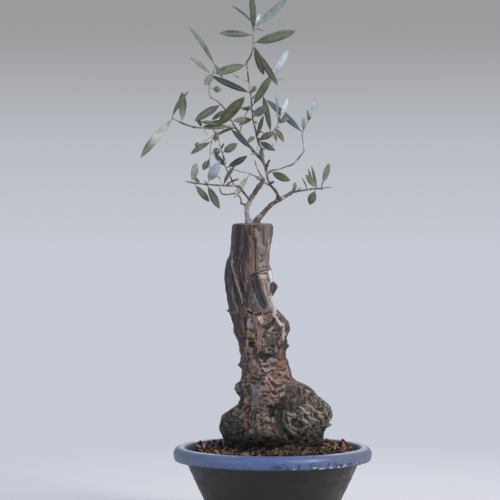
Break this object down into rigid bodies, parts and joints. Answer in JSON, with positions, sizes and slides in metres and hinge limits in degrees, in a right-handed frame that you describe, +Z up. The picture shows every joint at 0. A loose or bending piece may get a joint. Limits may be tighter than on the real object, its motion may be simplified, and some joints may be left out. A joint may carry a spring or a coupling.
{
  "type": "olive bonsai tree in a pot",
  "caption": "Young olive shoots growing from the sawn top of an old gnarled trunk, planted in bark mulch in a round plastic bowl with a rolled rim.",
  "frame": {"origin": "centre of the bowl's flat foot, on the surface it stands on", "axes": "+Z up along the trunk, +X to the tree's right seen from the front, -Y is the front"},
  "size_m": [0.3443, 0.3, 0.808],
  "materials": {
    "bowl_plastic": "weathered slate-blue moulded plastic, satin and scuffed",
    "mulch": "damp bark mulch on dark compost, rough",
    "old_bark": "rough weathered bark and grey deadwood",
    "young_bark": "smooth grey-brown bark of young shoots",
    "leaf": "leathery, dull grey-green above and silvery below",
    "fruit": "smooth unripe green skin"
  },
  "bodies": {
    "root": {"branch_back": "young_bark", "branch_left": "young_bark", "leader": "young_bark", "leader_tip": "young_bark", "leaf_branch_back_1": "leaf", "leaf_branch_left_1": "leaf", "leaf_branch_left_2": "leaf", "leaf_branch_left_3": "leaf", "leaf_branch_left_4": "leaf", "leaf_leader_1": "leaf", "leaf_leader_2": "leaf", "leaf_leader_3": "leaf", "leaf_leader_4": "leaf", "leaf_leader_5": "leaf", "leaf_leader_6": "leaf", "leaf_leader_7": "leaf", "leaf_leader_tip_1": "leaf", "leaf_leader_tip_2": "leaf", "leaf_leader_tip_3": "leaf", "leaf_leader_tip_4": "leaf", "leaf_leader_tip_5": "leaf", "leaf_leader_tip_6": "leaf", "leaf_shoot_right_1": "leaf", "leaf_shoot_right_2": "leaf", "leaf_shoot_right_3": "leaf", "leaf_sprig_right_1": "leaf", "leaf_sprig_right_2": "leaf", "leaf_twig_centre_right_1": "leaf", "leaf_twig_centre_right_2": "leaf", "leaf_twig_cluster_1": "leaf", "leaf_twig_cluster_2": "leaf", "leaf_twig_hang_1": "leaf", "leaf_twig_hang_2": "leaf", "leaf_twig_low_left_1": "leaf", "leaf_twig_low_left_2": "leaf", "leaf_twig_low_left_3": "leaf", "leaf_twig_low_left_4": "leaf", "leaf_twig_right_1": "leaf", "leaf_twig_upper_right_1": "leaf", "leaf_twig_zigzag_1": "leaf", "leaf_twig_zigzag_2": "leaf", "leaf_twig_zigzag_3": "leaf", "limb": "young_bark", "olive_cluster": "fruit", "olive_hang": "fruit", "olive_zigzag": "fruit", "pot": "bowl_plastic", "shoot_left": "young_bark", "shoot_right": "young_bark", "soil": "mulch", "sprig_right": "young_bark", "trunk": "old_bark", "twig_centre_right": "young_bark", "twig_cluster": "young_bark", "twig_hang": "young_bark", "twig_hook": "young_bark", "twig_low_left": "young_bark", "twig_right": "young_bark", "twig_upper_right": "young_bark", "twig_zigzag": "young_bark"}
  },
  "joints": []
}
